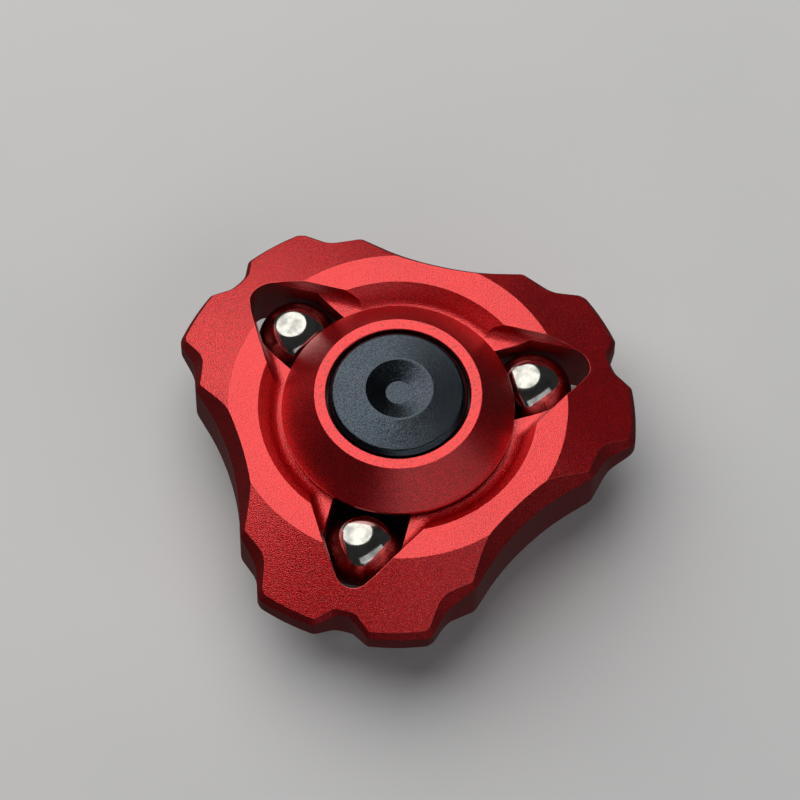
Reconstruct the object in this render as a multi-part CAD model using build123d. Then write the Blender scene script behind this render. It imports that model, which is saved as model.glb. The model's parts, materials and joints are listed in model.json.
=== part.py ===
from build123d import *

import math
import os

# Three-lobed hand spinner with a bearing hub, finger buttons and three captive steel balls.
#
# Millimetres, +Z up. The origin is the centre of the bearing, on the spin axis and half-way
# through the thickness. One lobe points along +Y. The spinner is the same above and below Z = 0.
# Each piece function returns one physical piece, and main() writes one STEP file for each.

# ---- fits that several pieces share -----------------------------------------------------------
THREAD_CLEARANCE = 0.05  # radial, between plain cylinders that stand in for threads
LOOSE_CLEARANCE = 0.05
SEAT_CLEARANCE = 0.03
CLIP_CLEARANCE = 0.01
CUT_MARGIN = 1.0  # how far a cutting shape runs on past the piece that it cuts

# ---- rotor body: the anodised three-lobed plate --------------------------------------------
LOBE_COUNT = 3
FIRST_LOBE_ANGLE = 90.0  # degrees from +X
LOBE_ANGLES = [FIRST_LOBE_ANGLE + 360.0 * lobe / LOBE_COUNT for lobe in range(LOBE_COUNT)]
BODY_HALF_HEIGHT = 6.0
OUTER_RADIUS = 28.2
BAND_OUTER_RADIUS = 20.0  # the flat band ends here and the lobes begin to slope down
BAND_INNER_RADIUS = 16.5
LOBE_SLOPE = math.tan(math.radians(27.5))

# Outline corners of half a lobe, from its axis to the middle of the valley beside it. Each is
# (radius, degrees from the lobe's axis, corner radius, height of the chamfer's lower edge).
NOTCH_CORNER = (25.75, 0.0, 2.6, 2.35)
NOTCH_SHOULDER = (OUTER_RADIUS, 6.5, 0.9, 1.15)
TIP_SHOULDER = (OUTER_RADIUS, 21.7, 1.6, 1.0)
GRIP_HOLLOW = (25.3, 27.0, 4.0, 1.85)
LOBE_SHOULDER = (24.27, 35.7, 2.0, 3.1)
VALLEY = (19.68, 60.0, 30.0, 3.5)
HALF_LOBE = [NOTCH_CORNER, NOTCH_SHOULDER, TIP_SHOULDER, GRIP_HOLLOW, LOBE_SHOULDER, VALLEY]

CHAMFER_SLOPE = math.tan(math.radians(60.0))
CHAMFER_CUT_MARGIN = 0.3  # how far each cutter reaches past the wall and past the top edge
CHAMFER_SECTIONS = 6

# Ring groove round the hub, with a 45 degree outer wall.
GROOVE_FLOOR_HEIGHT = 4.0
GROOVE_FLOOR_RADIUS = BAND_INNER_RADIUS - (BODY_HALF_HEIGHT - GROOVE_FLOOR_HEIGHT)
GROOVE_FOOT_FILLET = 1.5
BODY_BORE_RADIUS = 11.4
CARRIER_FIT_CLEARANCE = 0.1

# ---- steel balls and their windows ------------------------------------------------------------
STEEL_BALL_RADIUS = 9.525 / 2
STEEL_BALL_REST_RADIUS = 16.6  # distance of the ball's centre from the spin axis
STEEL_BALL_TRAVEL = 0.45  # each way from rest, along the lobe's axis
STEEL_BALL_CLEARANCE = 0.19
TUNNEL_RADIUS = STEEL_BALL_RADIUS + STEEL_BALL_CLEARANCE
TUNNEL_END_RADIUS = STEEL_BALL_REST_RADIUS + STEEL_BALL_TRAVEL + LOOSE_CLEARANCE
WINDOW_HALF_WIDTH = 4.7  # a little narrower than the ball, so that the ball stays in
WINDOW_APEX_RADIUS = 25.9
WINDOW_HALF_ANGLE = 30.0
WINDOW_TIP_FILLET = 2.3
WINDOW_WALL_TAPER = 12.0

# ---- bearing, 6.35 x 12.7 x 4.76 ----------------------------------------------------------------
BEARING_BORE_RADIUS = 3.175
BEARING_OUTER_RADIUS = 6.35
BEARING_HALF_WIDTH = 2.38
BEARING_PITCH_RADIUS = 4.7625
BEARING_BALL_RADIUS = 0.79
BEARING_BALL_COUNT = 10
RACEWAY_RADIUS = BEARING_BALL_RADIUS + SEAT_CLEARANCE
INNER_LAND_RADIUS = 4.2
OUTER_LAND_RADIUS = 5.25
RACE_EDGE_CHAMFER = 0.15
SHIELD_SEAT_RADIUS = 5.85
SHIELD_SEAT_HEIGHT = 1.9
SHIELD_INNER_RADIUS = 4.35
SHIELD_THICKNESS = 0.15
CLIP_GROOVE_RADIUS = 5.98
CLIP_HEIGHTS = (2.07, 2.27)
CLIP_RADII = (5.5, 5.93)
CLIP_GAP_DEGREES = 24.0
CAGE_RADII = (4.42, 5.05)
CAGE_HALF_HEIGHT = 1.05
CAGE_POCKET_RADIUS = BEARING_BALL_RADIUS + LOOSE_CLEARANCE

# ---- bearing carrier, the threaded sleeve between the bearing and the body ----------------------
CARRIER_RADIUS = BODY_BORE_RADIUS - CARRIER_FIT_CLEARANCE
CARRIER_FLANGE_HALF_HEIGHT = 3.6
CARRIER_COLLAR_RADIUS = 9.5
CARRIER_COLLAR_HEIGHT = 6.1
CARRIER_SHOULDER_RADIUS = 5.7
CARRIER_SHOULDER_THICKNESS = 0.8
CARRIER_MOUTH_RADIUS = 6.9
RETAINER_THICKNESS = 0.7
RETAINER_RADII = (5.75, 6.85)
RETAINER_GAP_DEGREES = 50.0
RETAINER_EYE_RADIUS = 0.25
RETAINER_EYE_INSET_DEGREES = 6.0

# ---- hub caps: the two anodised cones ------------------------------------------------------------
CAP_TOP_HEIGHT = 8.93
CAP_TOP_RADIUS = 9.85
CAP_BORE_RADIUS = 8.5
CAP_RIM_RADIUS = 13.75
CAP_RIM_TOP_HEIGHT = CAP_TOP_HEIGHT - (CAP_RIM_RADIUS - CAP_TOP_RADIUS)
CAP_RIM_THICKNESS = 0.5
CAP_FOOT_RADIUS = 12.9
CAP_EDGE_RADIUS = 0.15
CAP_THREAD_RADIUS = CARRIER_COLLAR_RADIUS + THREAD_CLEARANCE
CAP_LIP_HEIGHT = 6.3

# ---- finger buttons and the stud that joins them -------------------------------------------------
BUTTON_RADIUS = 8.2
BUTTON_EDGE_RADIUS = 0.55
BUTTON_SHOULDER = (7.67, 9.27)  # radius and height of the top's outer edge
DIMPLE_RIM_HEIGHT = 10.19
DIMPLE_RIM_RADII = (3.85, 4.1)  # the narrow flat ring that the spinner stands on
DIMPLE_FLOOR_RADIUS = 1.475
DIMPLE_FLOOR_HEIGHT = 9.15
BUTTON_UNDERSIDE_HEIGHT = 6.6
BUTTON_BOSS_RADIUS = 4.4
BUTTON_SPIGOT_RADIUS = BEARING_BORE_RADIUS - LOOSE_CLEARANCE
BUTTON_SPIGOT_END = 0.2
SHIM_THICKNESS = 0.2
STUD_RADIUS = 1.5
STUD_HALF_LENGTH = 6.7
STUD_HOLE_RADIUS = STUD_RADIUS + THREAD_CLEARANCE
STUD_HOLE_END = 6.9
STUD_END_CHAMFER = 0.3
STUD_SOCKET_RADIUS = 0.85
STUD_SOCKET_DEPTH = 1.6


def polar_point(radius, degrees):
    angle = math.radians(degrees)
    return Vector(radius * math.cos(angle), radius * math.sin(angle))


def turned(points, rounded=()):
    """Revolve a closed (radius, height) outline about Z; rounded holds (corner index, radius)."""
    outline = make_face(Polyline(*points, close=True))
    for index, radius in rounded:
        corner = outline.vertices().sort_by_distance(points[index])[0]
        outline = fillet(corner, radius)
    return revolve(Plane.XZ * outline, Axis.Z)


def ring(inner_radius, outer_radius, bottom, top):
    return turned([
        (inner_radius, bottom),
        (outer_radius, bottom),
        (outer_radius, top),
        (inner_radius, top),
    ])


def split_ring(inner_radius, outer_radius, bottom, top, gap_degrees):
    """A flat ring with a gap that is centred on the first lobe's axis."""
    reach = outer_radius + CUT_MARGIN
    half_width = reach * math.tan(math.radians(gap_degrees / 2))
    gap_plan = make_face(Polyline((0, 0), (reach, -half_width), (reach, half_width), close=True))
    gap = Pos(0, 0, bottom) * extrude(gap_plan, top - bottom)
    return ring(inner_radius, outer_radius, bottom, top) - Rot(0, 0, FIRST_LOBE_ANGLE) * gap


def mirrored(piece):
    """The same piece on the other side of Z = 0."""
    return mirror(piece, about=Plane.XY)


def at_each_lobe(tool):
    """Copies of a tool that was drawn along +X, one on each lobe's axis."""
    return [Rot(0, 0, angle) * tool for angle in LOBE_ANGLES]


# ---- rotor body -----------------------------------------------------------------------------------
def lobe_top_height(radius):
    """Height of the body's top face, which is level out to the band's edge and then slopes."""
    return BODY_HALF_HEIGHT - LOBE_SLOPE * max(radius - BAND_OUTER_RADIUS, 0.0)


def body_outline():
    """Plan outline of the vertical wall, one lobe along +X before it is turned into place."""
    one_side = [(radius, -angle, rounding) for radius, angle, rounding, _ in HALF_LOBE[-2:0:-1]]
    other_side = [(radius, angle, rounding) for radius, angle, rounding, _ in HALF_LOBE]
    lobe = one_side + other_side
    corners = [
        (polar_point(radius, lobe_angle + angle), corner_radius, radius == OUTER_RADIUS)
        for lobe_angle in LOBE_ANGLES
        for radius, angle, corner_radius in lobe
    ]
    edges = []
    for (start, _, start_outside), (end, _, end_outside) in zip(corners, corners[1:] + corners[:1]):
        middle = (start + end) / 2
        if start_outside and end_outside:
            edges.append(ThreePointArc(start, middle.normalized() * OUTER_RADIUS, end))
        else:
            edges.append(Line(start, end))
    outline = make_face(edges)
    for corner, corner_radius, _ in corners:
        outline = fillet(outline.vertices().sort_by_distance(corner)[0], corner_radius)
    return outline


def chamfer_foot_height(point):
    """Height of the chamfer's lower edge, which changes evenly from one corner to the next."""
    pitch = 360.0 / LOBE_COUNT
    angle = math.degrees(math.atan2(point.Y, point.X)) - FIRST_LOBE_ANGLE
    off_axis = abs((angle + pitch / 2) % pitch - pitch / 2)
    for (_, start, _, start_height), (_, end, _, end_height) in zip(HALF_LOBE, HALF_LOBE[1:]):
        if off_axis < end:
            share = (off_axis - start) / (end - start)
            return start_height + share * (end_height - start_height)
    return VALLEY[-1]


def chamfer_section(edge, position):
    """Triangle that the chamfer takes off the body at one position along an outline edge."""
    point = edge.position_at(position)
    outward = edge.tangent_at(position).cross(Vector(0, 0, 1))
    if outward.dot(point) < 0:
        outward = -outward
    foot = chamfer_foot_height(point)
    level_width = (BODY_HALF_HEIGHT - foot) / CHAMFER_SLOPE
    sloped_width = (lobe_top_height(point.length) - foot) / (CHAMFER_SLOPE - LOBE_SLOPE)
    width = min(level_width, sloped_width) + CHAMFER_CUT_MARGIN
    inner = point - outward * width + Vector(0, 0, foot + CHAMFER_SLOPE * width)
    outer_height = foot - CHAMFER_SLOPE * CHAMFER_CUT_MARGIN
    outer = point + outward * CHAMFER_CUT_MARGIN + Vector(0, 0, outer_height)
    corner = Vector(outer.X, outer.Y, inner.Z)
    return make_face(Polyline(inner, outer, corner, close=True))


def chamfer_tools(outline):
    """One cutter for each edge of the outline, above Z = 0."""
    tools = []
    for edge in outline.face().outer_wire().edges():
        steps = range(CHAMFER_SECTIONS)
        sections = [chamfer_section(edge, step / (CHAMFER_SECTIONS - 1)) for step in steps]
        tools.append(loft(sections))
    return tools


def body_blank(outline):
    """The outline's prism, turned down to the flat band and the sloping lobes."""
    rim_radius = OUTER_RADIUS + CUT_MARGIN
    upper_side = [
        (0, BODY_HALF_HEIGHT),
        (BAND_OUTER_RADIUS, BODY_HALF_HEIGHT),
        (rim_radius, lobe_top_height(rim_radius)),
    ]
    lower_side = [(r, -z) for r, z in reversed(upper_side)]
    return turned(upper_side + lower_side) & extrude(outline, BODY_HALF_HEIGHT, both=True)


def window_outline(half_width):
    """Plan of a ball window along +X: straight sides that close to a rounded point."""
    slope = math.tan(math.radians(WINDOW_HALF_ANGLE))
    start = BODY_BORE_RADIUS / 2
    bend = WINDOW_APEX_RADIUS - half_width / slope
    corners = [
        (start, -half_width),
        (bend, -half_width),
        (WINDOW_APEX_RADIUS, 0),
        (bend, half_width),
        (start, half_width),
    ]
    outline = make_face(Polyline(*corners, close=True))
    tip = outline.vertices().sort_by(Axis.X)[-1]
    return fillet(tip, WINDOW_TIP_FILLET)


def upper_groove():
    """Cutter for the ring groove and the V pockets that run out from it, with a rounded foot."""
    top = BODY_HALF_HEIGHT + CUT_MARGIN
    depth = top - GROOVE_FLOOR_HEIGHT
    ring_groove = turned([
        (0, GROOVE_FLOOR_HEIGHT),
        (GROOVE_FLOOR_RADIUS, GROOVE_FLOOR_HEIGHT),
        (GROOVE_FLOOR_RADIUS + depth, top),
        (0, top),
    ])
    slope = math.tan(math.radians(WINDOW_HALF_ANGLE))
    half_width = (WINDOW_APEX_RADIUS - GROOVE_FLOOR_RADIUS) * slope + WINDOW_TIP_FILLET
    pocket_plan = Pos(0, 0, GROOVE_FLOOR_HEIGHT) * window_outline(half_width)
    pocket = extrude(pocket_plan, depth, taper=-WINDOW_WALL_TAPER)
    groove = ring_groove + at_each_lobe(pocket)
    foot = groove.edges().filter_by_position(Axis.Z, GROOVE_FLOOR_HEIGHT, GROOVE_FLOOR_HEIGHT)
    return fillet(foot, GROOVE_FOOT_FILLET)


def ball_passage():
    """Cutters along +X: the slot that shows the ball, and the tunnel that the ball runs in."""
    slot = extrude(window_outline(WINDOW_HALF_WIDTH), BODY_HALF_HEIGHT, both=True)
    tunnel = extrude(Plane.YZ * Circle(TUNNEL_RADIUS), TUNNEL_END_RADIUS)
    tunnel_end = Pos(TUNNEL_END_RADIUS, 0, 0) * Sphere(TUNNEL_RADIUS)
    return [slot, tunnel + tunnel_end]


def rotor_body():
    outline = body_outline()
    body = body_blank(outline)
    chamfers = chamfer_tools(outline)
    groove = upper_groove()
    for cutter in [*chamfers, groove]:
        body -= cutter
        body -= mirrored(cutter)
    for cutter in ball_passage():
        body -= at_each_lobe(cutter)
    return body - Cylinder(BODY_BORE_RADIUS, 2 * BODY_HALF_HEIGHT)


def steel_ball(lobe_angle):
    return Pos(*polar_point(STEEL_BALL_REST_RADIUS, lobe_angle)) * Sphere(STEEL_BALL_RADIUS)


# ---- bearing --------------------------------------------------------------------------------------
def raceway():
    return Torus(BEARING_PITCH_RADIUS, RACEWAY_RADIUS)


def bearing_inner_race():
    race = ring(BEARING_BORE_RADIUS, INNER_LAND_RADIUS, -BEARING_HALF_WIDTH, BEARING_HALF_WIDTH)
    bore_edges = race.edges().filter_by(GeomType.CIRCLE).sort_by(SortBy.RADIUS)[:2]
    return chamfer(bore_edges, RACE_EDGE_CHAMFER) - raceway()


def bearing_outer_race():
    upper_side = [
        (OUTER_LAND_RADIUS, 0.0),
        (OUTER_LAND_RADIUS, SHIELD_SEAT_HEIGHT),
        (SHIELD_SEAT_RADIUS, SHIELD_SEAT_HEIGHT),
        (SHIELD_SEAT_RADIUS, CLIP_HEIGHTS[0] - CLIP_CLEARANCE),
        (CLIP_GROOVE_RADIUS, CLIP_HEIGHTS[0] - CLIP_CLEARANCE),
        (CLIP_GROOVE_RADIUS, CLIP_HEIGHTS[1] + CLIP_CLEARANCE),
        (SHIELD_SEAT_RADIUS, CLIP_HEIGHTS[1] + CLIP_CLEARANCE),
        (SHIELD_SEAT_RADIUS, BEARING_HALF_WIDTH),
        (BEARING_OUTER_RADIUS - RACE_EDGE_CHAMFER, BEARING_HALF_WIDTH),
        (BEARING_OUTER_RADIUS, BEARING_HALF_WIDTH - RACE_EDGE_CHAMFER),
        (BEARING_OUTER_RADIUS, 0.0),
    ]
    upper_half = turned(upper_side)
    return upper_half + mirrored(upper_half) - raceway()


def around_pitch_circle(piece):
    """Copies of a piece, one at each ball's place in the bearing."""
    places = PolarLocations(BEARING_PITCH_RADIUS, BEARING_BALL_COUNT)
    return [place * piece for place in places]


def bearing_balls():
    return Compound(children=around_pitch_circle(Sphere(BEARING_BALL_RADIUS)))


def bearing_cage():
    blank = ring(*CAGE_RADII, -CAGE_HALF_HEIGHT, CAGE_HALF_HEIGHT)
    pocket = Rot(0, 90, 0) * Cylinder(CAGE_POCKET_RADIUS, 2 * CUT_MARGIN)
    return blank - around_pitch_circle(pocket)


def upper_bearing_shield():
    outer_radius = SHIELD_SEAT_RADIUS - LOOSE_CLEARANCE
    top = SHIELD_SEAT_HEIGHT + SHIELD_THICKNESS
    return ring(SHIELD_INNER_RADIUS, outer_radius, SHIELD_SEAT_HEIGHT, top)


def upper_shield_clip():
    return split_ring(*CLIP_RADII, *CLIP_HEIGHTS, CLIP_GAP_DEGREES)


# ---- bearing carrier and its retaining ring -------------------------------------------------------
def bearing_carrier():
    shoulder_bottom = -BEARING_HALF_WIDTH - CARRIER_SHOULDER_THICKNESS
    groove_top = BEARING_HALF_WIDTH + RETAINER_THICKNESS + LOOSE_CLEARANCE
    outline = [
        (CARRIER_COLLAR_RADIUS, -CARRIER_COLLAR_HEIGHT),
        (CARRIER_COLLAR_RADIUS, -CARRIER_FLANGE_HALF_HEIGHT),
        (CARRIER_RADIUS, -CARRIER_FLANGE_HALF_HEIGHT),
        (CARRIER_RADIUS, CARRIER_FLANGE_HALF_HEIGHT),
        (CARRIER_COLLAR_RADIUS, CARRIER_FLANGE_HALF_HEIGHT),
        (CARRIER_COLLAR_RADIUS, CARRIER_COLLAR_HEIGHT),
        (BEARING_OUTER_RADIUS, CARRIER_COLLAR_HEIGHT),
        (BEARING_OUTER_RADIUS, groove_top),
        (CARRIER_MOUTH_RADIUS, groove_top),
        (CARRIER_MOUTH_RADIUS, BEARING_HALF_WIDTH),
        (BEARING_OUTER_RADIUS, BEARING_HALF_WIDTH),
        (BEARING_OUTER_RADIUS, -BEARING_HALF_WIDTH),
        (CARRIER_SHOULDER_RADIUS, -BEARING_HALF_WIDTH),
        (CARRIER_SHOULDER_RADIUS, shoulder_bottom),
        (CARRIER_MOUTH_RADIUS, shoulder_bottom),
        (CARRIER_MOUTH_RADIUS, -CARRIER_COLLAR_HEIGHT),
    ]
    return turned(outline)


def bearing_retaining_ring():
    """Spring ring in the carrier's groove, with a plier hole near each end."""
    bottom = BEARING_HALF_WIDTH
    top = bottom + RETAINER_THICKNESS
    spring = split_ring(*RETAINER_RADII, bottom, top, RETAINER_GAP_DEGREES)
    eye_angle = RETAINER_GAP_DEGREES / 2 + RETAINER_EYE_INSET_DEGREES
    eye_radius = sum(RETAINER_RADII) / 2
    for side in (-1, 1):
        centre = polar_point(eye_radius, FIRST_LOBE_ANGLE + side * eye_angle)
        spring -= Pos(centre.X, centre.Y, bottom) * Cylinder(RETAINER_EYE_RADIUS, 2 * CUT_MARGIN)
    return spring


# ---- hub caps, buttons and their fastening --------------------------------------------------------
def upper_hub_cap():
    rim_bottom = CAP_RIM_TOP_HEIGHT - CAP_RIM_THICKNESS
    outline = [
        (CAP_THREAD_RADIUS, GROOVE_FLOOR_HEIGHT),
        (CAP_FOOT_RADIUS, GROOVE_FLOOR_HEIGHT),
        (CAP_FOOT_RADIUS, rim_bottom),
        (CAP_RIM_RADIUS, rim_bottom),
        (CAP_RIM_RADIUS, CAP_RIM_TOP_HEIGHT),
        (CAP_TOP_RADIUS, CAP_TOP_HEIGHT),
        (CAP_BORE_RADIUS, CAP_TOP_HEIGHT),
        (CAP_BORE_RADIUS, CAP_LIP_HEIGHT),
        (CAP_THREAD_RADIUS, CAP_LIP_HEIGHT),
    ]
    return turned(outline, rounded=[(corner, CAP_EDGE_RADIUS) for corner in (3, 4, 5, 6)])


def upper_button():
    boss_end = BEARING_HALF_WIDTH + SHIM_THICKNESS
    outline = [
        (0, DIMPLE_FLOOR_HEIGHT),
        (DIMPLE_FLOOR_RADIUS, DIMPLE_FLOOR_HEIGHT),
        (DIMPLE_RIM_RADII[0], DIMPLE_RIM_HEIGHT),
        (DIMPLE_RIM_RADII[1], DIMPLE_RIM_HEIGHT),
        BUTTON_SHOULDER,
        (BUTTON_RADIUS, BUTTON_SHOULDER[1] - BUTTON_EDGE_RADIUS),
        (BUTTON_RADIUS, BUTTON_UNDERSIDE_HEIGHT),
        (BUTTON_BOSS_RADIUS, BUTTON_UNDERSIDE_HEIGHT),
        (BUTTON_BOSS_RADIUS, boss_end),
        (BUTTON_SPIGOT_RADIUS, boss_end),
        (BUTTON_SPIGOT_RADIUS, BUTTON_SPIGOT_END),
        (STUD_HOLE_RADIUS, BUTTON_SPIGOT_END),
        (STUD_HOLE_RADIUS, STUD_HOLE_END),
        (0, STUD_HOLE_END),
    ]
    return turned(outline, rounded=[(4, BUTTON_EDGE_RADIUS), (5, BUTTON_EDGE_RADIUS / 2)])


def upper_shim():
    inner_radius = BEARING_BORE_RADIUS + SEAT_CLEARANCE
    outer_radius = INNER_LAND_RADIUS - LOOSE_CLEARANCE
    return ring(inner_radius, outer_radius, BEARING_HALF_WIDTH, BEARING_HALF_WIDTH + SHIM_THICKNESS)


def button_stud():
    """Threaded stud that pulls the two buttons together, with a hexagon socket in its top end."""
    stud = Cylinder(STUD_RADIUS, 2 * STUD_HALF_LENGTH)
    stud = chamfer(stud.edges().filter_by(GeomType.CIRCLE), STUD_END_CHAMFER)
    socket_plan = Pos(0, 0, STUD_HALF_LENGTH) * RegularPolygon(STUD_SOCKET_RADIUS, 6)
    return stud - extrude(socket_plan, -STUD_SOCKET_DEPTH)


def make_parts():
    """Every physical piece, by name."""
    parts = {
        "rotor_body": rotor_body(),
        "bearing_carrier": bearing_carrier(),
        "bearing_retaining_ring": bearing_retaining_ring(),
        "bearing_outer_race": bearing_outer_race(),
        "bearing_inner_race": bearing_inner_race(),
        "bearing_balls": bearing_balls(),
        "bearing_cage": bearing_cage(),
        "button_stud": button_stud(),
    }
    paired = {
        "hub_cap": upper_hub_cap(),
        "button": upper_button(),
        "shim": upper_shim(),
        "bearing_shield": upper_bearing_shield(),
        "shield_clip": upper_shield_clip(),
    }
    for name, piece in paired.items():
        parts["upper_" + name] = piece
        parts["lower_" + name] = mirrored(piece)
    for number, lobe_angle in enumerate(LOBE_ANGLES, start=1):
        parts[f"steel_ball_{number}"] = steel_ball(lobe_angle)
    return parts


def main():
    os.makedirs("parts", exist_ok=True)
    for name, piece in make_parts().items():
        export_step(piece, f"parts/{name}.step")


main()
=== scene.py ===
import json
import math

import bpy
from mathutils import Matrix, Vector


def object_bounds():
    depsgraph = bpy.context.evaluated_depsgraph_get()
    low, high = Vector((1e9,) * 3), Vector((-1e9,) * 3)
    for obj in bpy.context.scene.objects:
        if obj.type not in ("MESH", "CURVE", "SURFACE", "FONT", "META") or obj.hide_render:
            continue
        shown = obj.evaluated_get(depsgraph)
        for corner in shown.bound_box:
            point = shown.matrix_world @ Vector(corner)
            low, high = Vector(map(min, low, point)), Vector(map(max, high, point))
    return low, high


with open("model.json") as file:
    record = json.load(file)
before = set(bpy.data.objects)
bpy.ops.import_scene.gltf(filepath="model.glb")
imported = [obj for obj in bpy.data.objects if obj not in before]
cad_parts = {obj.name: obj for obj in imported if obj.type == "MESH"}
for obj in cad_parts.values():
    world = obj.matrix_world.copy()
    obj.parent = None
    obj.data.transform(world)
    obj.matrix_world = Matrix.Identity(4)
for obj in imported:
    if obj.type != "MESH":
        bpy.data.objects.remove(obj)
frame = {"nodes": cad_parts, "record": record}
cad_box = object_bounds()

# Looks of the hand spinner, in metres, in the same frame as its CAD model: +Z is the spin axis and
# one lobe points along +Y. Every piece is a CAD node that gets a procedural material.

MM = 0.001

# ---- camera: angles in degrees, the lens in millimetres, the rest in metres -----------------------
CAMERA_AZIMUTH = -46.85
CAMERA_ELEVATION = 62.85
CAMERA_ROLL = 0.765
CAMERA_DISTANCE = 610 * MM
CAMERA_TARGET = Vector((1.453, 1.081, 3.723)) * MM
CAMERA_LENS = 232.2
CAMERA_NEAR_LIMIT = 10 * MM

# ---- lights ---------------------------------------------------------------------------------------
# The direction is where a light lies from the object. Its distance and size are in metres, its power
# in watts, and its turn about its own axis in degrees.
LIGHTS = (
    {
        "name": "key",
        "shape": "ELLIPSE",
        "direction": (0.136, 0.555, 0.819),
        "distance": 0.55,
        "size": (0.84, 0.96),
        "turn": 0.0,
        "power": 4.5,
        "colour": (1.0, 0.98, 0.91),
    },
    {
        "name": "fill",
        "shape": "RECTANGLE",
        "direction": (-0.12, -0.91, 0.40),
        "distance": 0.7,
        "size": (1.0, 0.36),
        "turn": 0.0,
        "power": 0.55,
        "colour": (1.0, 1.0, 1.0),
    },
    {
        "name": "strip",
        "shape": "RECTANGLE",
        "direction": (-0.15, -0.71, 0.688),
        "distance": 0.55,
        "size": (0.86, 0.20),
        "turn": 2.5,
        "power": 0.40,
        "colour": (1.0, 1.0, 1.0),
    },
)
AMBIENT = 0.045

FLOOR_SIZE = 3.0

# ---- colours --------------------------------------------------------------------------------------
RED_DYE = (0.74, 0.004, 0.010)
RED_DYE_CLOUD = (0.80, 0.006, 0.013)
RED_SPECK = (0.26, 0.001, 0.004)
# The red edge colour is part wear, part a painted highlight of the light that edges catch.
RED_WORN_AND_LIT_EDGE = (0.95, 0.16, 0.13)
BLACK_DYE = (0.046, 0.059, 0.077)
BLACK_DYE_CLOUD = (0.054, 0.067, 0.086)
BLACK_SPECK = (0.008, 0.011, 0.014)
BLACK_WORN_EDGE = (0.12, 0.13, 0.14)
BALL_STEEL = (0.46, 0.455, 0.44)
BALL_STAIN = (0.25, 0.25, 0.245)
BALL_SCRATCH = (0.17, 0.17, 0.17)
FLOOR_TONES = (0.55, 0.555, 0.59), (0.58, 0.585, 0.615)

# ---- finishes: sizes of their features, and how strongly each one shows ---------------------------
BODY_FINISH = {"grain": 0.125 * MM, "depth": 0.024 * MM, "roughness": 0.44, "speck_strength": 0.85}
CAP_FINISH = {"grain": 0.125 * MM, "depth": 0.014 * MM, "roughness": 0.39, "speck_strength": 1.0}
RED_EDGE_RADIUS = 0.12 * MM
RED_CLOUD = 9 * MM
# Lighter red edges: part wear, part a painted highlight of the light that rounded edges catch.
RED_WEAR_AND_HIGHLIGHT_RADIUS = 0.16 * MM
RED_WEAR_AND_HIGHLIGHT_PATCH = 1.5 * MM
RED_WEAR_AND_HIGHLIGHT_STRENGTH = 0.6
HANDLING_MARK = 4 * MM
HANDLING_SPREAD = 0.03

BLACK_GRAIN = 0.15 * MM
BLACK_DEPTH = 0.016 * MM
BLACK_EDGE_RADIUS = 0.1 * MM
BLACK_CLOUD = 5 * MM
BLACK_SPECK_STRENGTH = 0.7
BLACK_WEAR_RADIUS = 0.14 * MM
BLACK_WEAR_STRENGTH = 0.3
BLACK_ROUGHNESS = 0.15, 0.22

# How many times finer the scratches are along x, y and z. Each set runs along the axis with the 1.
SCRATCH_DIRECTIONS = (1, 14, 6), (12, 1, 5), (6, 9, 1)
SCRATCH_LENGTH = 0.35 * MM
SCRATCH_DEPTH = 0.002 * MM
SCRATCH_STRENGTH = 0.5
SCRATCH_ROUGHNESS = 0.10
BALL_STAIN_SIZE = 1.3 * MM
BALL_ROUGHNESS = 0.05, 0.12

TURNING_DEPTH = 0.004 * MM
TURNED_EDGE_RADIUS = 0.06 * MM
TURNED_STAIN_SIZE = 2 * MM
TURNED_SMOOTHER = 0.05
TURNED_ROUGHER = 0.07

FLOOR_CLOUD = 60 * MM
FLOOR_GRAIN = 1.2 * MM
FLOOR_DEPTH = 0.03 * MM

# Where in the noise's range, from 0 to 1, a pattern starts to show and where it shows in full. The
# specks run the other way, because they are the low spots of the grit.
CLOUD_FADE = 0.35, 0.65
PATCH_FADE = 0.3, 0.7
GRIT_FADE = 0.25, 0.75
SPECK_FADE = 0.60, 0.40
SCRATCH_FADE = 0.58, 0.76
BALL_STAIN_FADE = 0.42, 0.66
TURNED_STAIN_FADE = 0.35, 0.7
# The same for the sum of a turned metal's rings and stain, which runs from 0 to 2.
DARKNESS_FADE = 0.5, 1.5

# An edge is lightened in full, as wear and on the red also as a painted highlight, where its
# rounded normal leans this far from the face's own (1 - cosine).
EDGE_LEAN = 0.12
BEVEL_SAMPLES = 6

# Turned metals inside the hub: light tone, dark tone, roughness, spacing of the turning marks.
TURNED_METALS = {
    "carrier_aluminium": ((0.05, 0.05, 0.055), (0.02, 0.02, 0.022), 0.4, 0.25 * MM),
    "bearing_steel": ((0.62, 0.61, 0.6), (0.45, 0.44, 0.43), 0.2, 0.25 * MM),
    "cage_brass": ((0.72, 0.5, 0.2), (0.55, 0.37, 0.13), 0.3, 0.25 * MM),
    "spring_steel": ((0.2, 0.2, 0.23), (0.11, 0.11, 0.13), 0.35, 0.25 * MM),
    "stud_steel": ((0.55, 0.55, 0.56), (0.38, 0.38, 0.39), 0.3, 0.4 * MM),
}

# Sockets of the colour mix node, which have no names of their own.
MIX_FIRST = 6
MIX_SECOND = 7
MIX_RESULT = 2


# ---- node helpers ---------------------------------------------------------------------------------
def rgba(colour):
    """A colour as a socket takes it; a link is passed on as it is."""
    return (*colour, 1) if isinstance(colour, tuple) else colour


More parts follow.
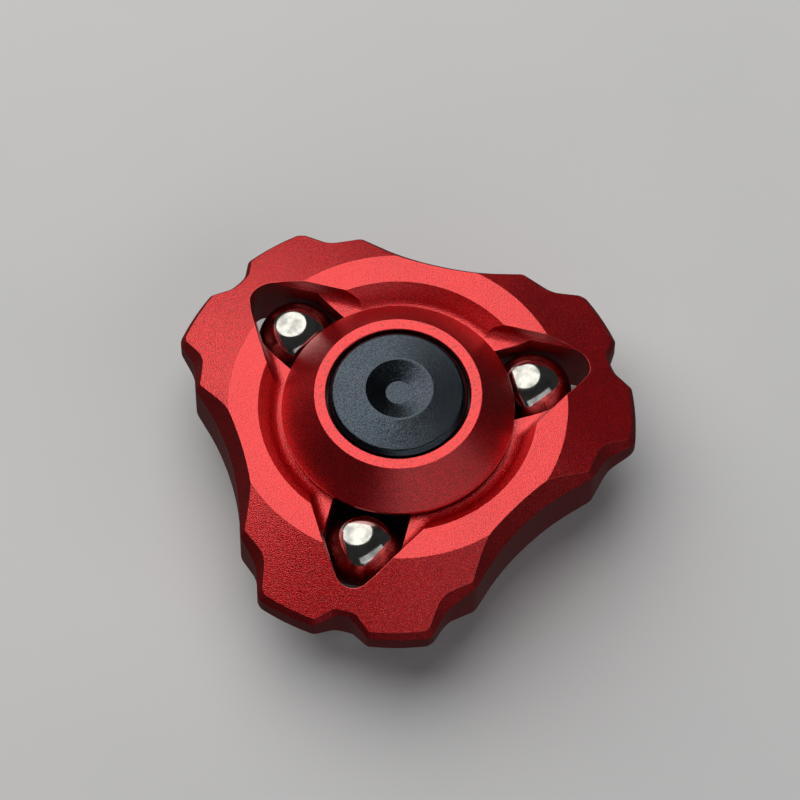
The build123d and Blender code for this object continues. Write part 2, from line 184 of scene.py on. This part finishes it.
class Graph:
    """A short way to write a material's node tree."""

    def __init__(self, name):
        self.material = bpy.data.materials.new(name)
        self.material.use_nodes = True
        self.tree = self.material.node_tree
        self.shader = self.tree.nodes["Principled BSDF"]
        self.coordinates = self.add("ShaderNodeTexCoord").outputs["Object"]

    def add(self, kind, inputs=None, **settings):
        """A new node with those inputs and settings."""
        node = self.tree.nodes.new(kind)
        for name, value in settings.items():
            setattr(node, name, value)
        for name, value in (inputs or {}).items():
            self.set(node, name, value)
        return node

    def set(self, node, name, value):
        """Link an input to a socket, or give it a value of its own."""
        if isinstance(value, bpy.types.NodeSocket):
            self.tree.links.new(value, node.inputs[name])
        else:
            node.inputs[name].default_value = value

    def shade(self, **values):
        """Set inputs of the surface shader; an underscore in a name stands for a space."""
        for name, value in values.items():
            self.set(self.shader, name.replace("_", " "), value)

    def noise(self, feature, detail=2.0, finer=(1, 1, 1)):
        """Noise from 0 to 1 with features about that many metres across, or finer along x, y or z."""
        mapping = self.add("ShaderNodeMapping", {"Vector": self.coordinates, "Scale": finer})
        inputs = {"Vector": mapping.outputs["Vector"], "Scale": 1 / feature, "Detail": detail}
        return self.add("ShaderNodeTexNoise", inputs).outputs["Fac"]

    def math(self, operation, first, second=0.0):
        """One calculation, such as MULTIPLY."""
        return self.add("ShaderNodeMath", {0: first, 1: second}, operation=operation).outputs[0]

    def fit(self, value, low, high, new_low=0.0, new_high=1.0):
        """Map low..high onto new_low..new_high, clamped."""
        inputs = {
            "Value": value,
            "From Min": low,
            "From Max": high,
            "To Min": new_low,
            "To Max": new_high,
        }
        return self.add("ShaderNodeMapRange", inputs).outputs["Result"]

    def mix(self, factor, first, second):
        """The first colour where the factor is 0, fading to the second where it is 1."""
        inputs = {"Factor": factor, MIX_FIRST: rgba(first), MIX_SECOND: rgba(second)}
        return self.add("ShaderNodeMix", inputs, data_type="RGBA").outputs[MIX_RESULT]

    def rounded_normal(self, radius):
        """The surface's normal as if its edges were rounded to that radius."""
        bevel = self.add("ShaderNodeBevel", {"Radius": radius}, samples=BEVEL_SAMPLES)
        return bevel.outputs["Normal"]

    def edges(self, radius):
        """1 on sharp edges and 0 on flat faces, fading over that radius."""
        flat = self.add("ShaderNodeNewGeometry").outputs["Normal"]
        normals = {0: self.rounded_normal(radius), 1: flat}
        dot = self.add("ShaderNodeVectorMath", normals, operation="DOT_PRODUCT")
        lean = self.math("SUBTRACT", 1.0, dot.outputs["Value"])
        return self.fit(lean, 0.0, EDGE_LEAN)

    def bump(self, height, distance, normal=None, strength=1.0):
        """The normal after a relief that many metres deep is laid on the surface."""
        inputs = {"Height": height, "Distance": distance, "Strength": strength}
        if normal is not None:
            inputs["Normal"] = normal
        return self.add("ShaderNodeBump", inputs).outputs["Normal"]


# ---- materials ------------------------------------------------------------------------------------
def blasted_surface(graph, grain, depth, edge_radius):
    """Bead-blasted grit on slightly rounded edges: its dark specks, from 0 to 1, and its normal."""
    grit = graph.noise(grain, detail=1.0)
    specks = graph.fit(grit, *SPECK_FADE)
    relief = graph.fit(grit, *GRIT_FADE)
    return specks, graph.bump(relief, depth, graph.rounded_normal(edge_radius))


def red_anodised(name, grain, depth, roughness, speck_strength):
    """Dyed oxide over blasted aluminium: a saturated metal under a thin clear layer."""
    graph = Graph(name)
    specks, normal = blasted_surface(graph, grain, depth, RED_EDGE_RADIUS)
    cloud = graph.fit(graph.noise(RED_CLOUD, detail=3.0), *CLOUD_FADE)
    dye = graph.mix(cloud, RED_DYE, RED_DYE_CLOUD)
    dye = graph.mix(graph.math("MULTIPLY", specks, speck_strength), dye, RED_SPECK)
    # Lighter edges in patches: part wear, part a painted highlight of light caught on the edges.
    wear_and_highlight_patches = graph.fit(graph.noise(RED_WEAR_AND_HIGHLIGHT_PATCH), *PATCH_FADE)
    lighter_edges = graph.math("MULTIPLY", graph.edges(RED_WEAR_AND_HIGHLIGHT_RADIUS), wear_and_highlight_patches)
    colour = graph.mix(graph.math("MULTIPLY", lighter_edges, RED_WEAR_AND_HIGHLIGHT_STRENGTH), dye, RED_WORN_AND_LIT_EDGE)
    handling = graph.noise(HANDLING_MARK, detail=4.0)
    smoothest = roughness - HANDLING_SPREAD
    roughest = roughness + HANDLING_SPREAD
    graph.shade(
        Base_Color=colour,
        Metallic=1.0,
        Roughness=graph.fit(handling, *PATCH_FADE, smoothest, roughest),
        Coat_Weight=0.8,
        Coat_Roughness=0.20,
        Coat_IOR=1.6,
        Normal=normal,
        Coat_Normal=normal,
    )
    return graph.material


def black_anodised():
    """The same oxide dyed black: darker, smoother and with less clear layer than the red."""
    graph = Graph("black_anodised")
    specks, normal = blasted_surface(graph, BLACK_GRAIN, BLACK_DEPTH, BLACK_EDGE_RADIUS)
    cloud = graph.fit(graph.noise(BLACK_CLOUD, detail=3.0), *CLOUD_FADE)
    dye = graph.mix(cloud, BLACK_DYE, BLACK_DYE_CLOUD)
    dye = graph.mix(graph.math("MULTIPLY", specks, BLACK_SPECK_STRENGTH), dye, BLACK_SPECK)
    lighter_edges = graph.math("MULTIPLY", graph.edges(BLACK_WEAR_RADIUS), BLACK_WEAR_STRENGTH)
    graph.shade(
        Base_Color=graph.mix(lighter_edges, dye, BLACK_WORN_EDGE),
        Metallic=1.0,
        Roughness=graph.fit(specks, 0.0, 1.0, *BLACK_ROUGHNESS),
        Coat_Weight=0.1,
        Coat_Roughness=0.2,
        Normal=normal,
        Coat_Normal=normal,
    )
    return graph.material


def polished_steel():
    """Polished ball: mirror steel with fine crossing scratches and faint stains."""
    graph = Graph("polished_steel")
    lines = 0.0
    for finer in SCRATCH_DIRECTIONS:
        lines = graph.math("MAXIMUM", lines, graph.noise(SCRATCH_LENGTH, detail=4.0, finer=finer))
    scuff = graph.fit(lines, *SCRATCH_FADE)
    stain = graph.fit(graph.noise(BALL_STAIN_SIZE, detail=6.0), *BALL_STAIN_FADE)
    colour = graph.mix(stain, BALL_STEEL, BALL_STAIN)
    colour = graph.mix(graph.math("MULTIPLY", scuff, SCRATCH_STRENGTH), colour, BALL_SCRATCH)
    stained_roughness = graph.fit(stain, 0.0, 1.0, *BALL_ROUGHNESS)
    scratch_roughness = graph.math("MULTIPLY", scuff, SCRATCH_ROUGHNESS)
    graph.shade(
        Base_Color=colour,
        Metallic=1.0,
        Roughness=graph.math("ADD", stained_roughness, scratch_roughness),
        Normal=graph.bump(lines, SCRATCH_DEPTH, strength=0.5),
    )
    return graph.material


def machined_metal(name, light, dark, roughness, turning):
    """Turned or ground metal: fine rings round the spin axis and a little staining."""
    graph = Graph(name)
    split = graph.add("ShaderNodeSeparateXYZ", {"Vector": graph.coordinates})
    x_squared = graph.math("POWER", split.outputs["X"], 2.0)
    y_squared = graph.math("POWER", split.outputs["Y"], 2.0)
    radius = graph.math("SQRT", graph.math("ADD", x_squared, y_squared))
    lathe = graph.add("ShaderNodeCombineXYZ", {"X": radius, "Y": split.outputs["Z"]})
    inputs = {"Vector": lathe.outputs["Vector"], "Scale": 1 / turning, "Detail": 3.0}
    rings = graph.add("ShaderNodeTexNoise", inputs).outputs["Fac"]
    stain = graph.fit(graph.noise(TURNED_STAIN_SIZE, detail=4.0), *TURNED_STAIN_FADE)
    darkness = graph.fit(graph.math("ADD", rings, stain), *DARKNESS_FADE)
    normal = graph.bump(rings, TURNING_DEPTH, graph.rounded_normal(TURNED_EDGE_RADIUS))
    smoothest = roughness - TURNED_SMOOTHER
    roughest = roughness + TURNED_ROUGHER
    graph.shade(
        Base_Color=graph.mix(darkness, light, dark),
        Metallic=1.0,
        Roughness=graph.fit(rings, *PATCH_FADE, smoothest, roughest),
        Normal=normal,
    )
    return graph.material


def pale_floor():
    """A matt sheet in two close tones, with a slight grain."""
    graph = Graph("pale_floor")
    tone = graph.fit(graph.noise(FLOOR_CLOUD, detail=3.0), *PATCH_FADE)
    grain = graph.noise(FLOOR_GRAIN, detail=3.0)
    graph.shade(
        Base_Color=graph.mix(tone, *FLOOR_TONES),
        Roughness=0.85,
        Normal=graph.bump(grain, FLOOR_DEPTH, strength=0.3),
    )
    return graph.material


def dress_nodes():
    """Give every CAD node the material of its slot in the record."""
    materials = {
        "red_anodised": red_anodised("red_anodised", **BODY_FINISH),
        "cap_red_anodised": red_anodised("cap_red_anodised", **CAP_FINISH),
        "black_anodised": black_anodised(),
        "polished_steel": polished_steel(),
    }
    for name, settings in TURNED_METALS.items():
        materials[name] = machined_metal(name, *settings)
    for row in frame["record"]["subparts"]:
        node = frame["nodes"][row["node"]]
        node.data.materials.clear()
        node.data.materials.append(materials[row["material_slot"]])


# ---- stage ----------------------------------------------------------------------------------------
def make_floor():
    """A plain sheet that the lower button stands on. The metal reflects a dark room, not the sheet."""
    half = FLOOR_SIZE / 2
    height = cad_box[0].z
    quarters = (-1, -1), (1, -1), (1, 1), (-1, 1)
    corners = [(half * x, half * y, height) for x, y in quarters]
    mesh = bpy.data.meshes.new("floor")
    mesh.from_pydata(corners, [], [(0, 1, 2, 3)])
    floor = bpy.data.objects.new("floor", mesh)
    bpy.context.scene.collection.objects.link(floor)
    mesh.materials.append(pale_floor())
    floor.visible_glossy = False


def add_light(name, shape, direction, distance, size, turn, power, colour):
    """An area light that faces the object from that direction, turned about its own axis."""
    data = bpy.data.lights.new(name, "AREA")
    data.shape = shape
    data.size, data.size_y = size
    data.energy = power
    data.color = colour
    light = bpy.data.objects.new(name, data)
    bpy.context.scene.collection.objects.link(light)
    outward = Vector(direction)
    place = Matrix.Translation(outward.normalized() * distance)
    aim = outward.to_track_quat("Z", "Y").to_matrix().to_4x4()
    light.matrix_world = place @ aim @ Matrix.Rotation(math.radians(turn), 4, "Z")


def make_room():
    """A dim even light from all round, with colours shown as they are."""
    world = bpy.data.worlds.new("studio")
    world.use_nodes = True
    background = world.node_tree.nodes["Background"]
    background.inputs["Color"].default_value = (1, 1, 1, 1)
    background.inputs["Strength"].default_value = AMBIENT
    bpy.context.scene.world = world
    bpy.context.scene.view_settings.view_transform = "Standard"


def make_camera():
    """The camera at the photograph's viewing angle."""
    azimuth = math.radians(CAMERA_AZIMUTH)
    elevation = math.radians(CAMERA_ELEVATION)
    level = math.cos(elevation)
    back = Vector((math.sin(azimuth) * level, -math.cos(azimuth) * level, math.sin(elevation)))
    aim = back.to_track_quat("Z", "Y").to_matrix().to_4x4()
    roll = Matrix.Rotation(math.radians(CAMERA_ROLL), 4, "Z")
    data = bpy.data.cameras.new("camera")
    data.lens = CAMERA_LENS
    data.clip_start = CAMERA_NEAR_LIMIT
    camera = bpy.data.objects.new("camera", data)
    bpy.context.scene.collection.objects.link(camera)
    place = Matrix.Translation(CAMERA_TARGET + back * CAMERA_DISTANCE)
    camera.matrix_world = place @ aim @ roll
    bpy.context.scene.camera = camera


dress_nodes()
make_floor()
for light_settings in LIGHTS:
    add_light(**light_settings)
make_room()
make_camera()
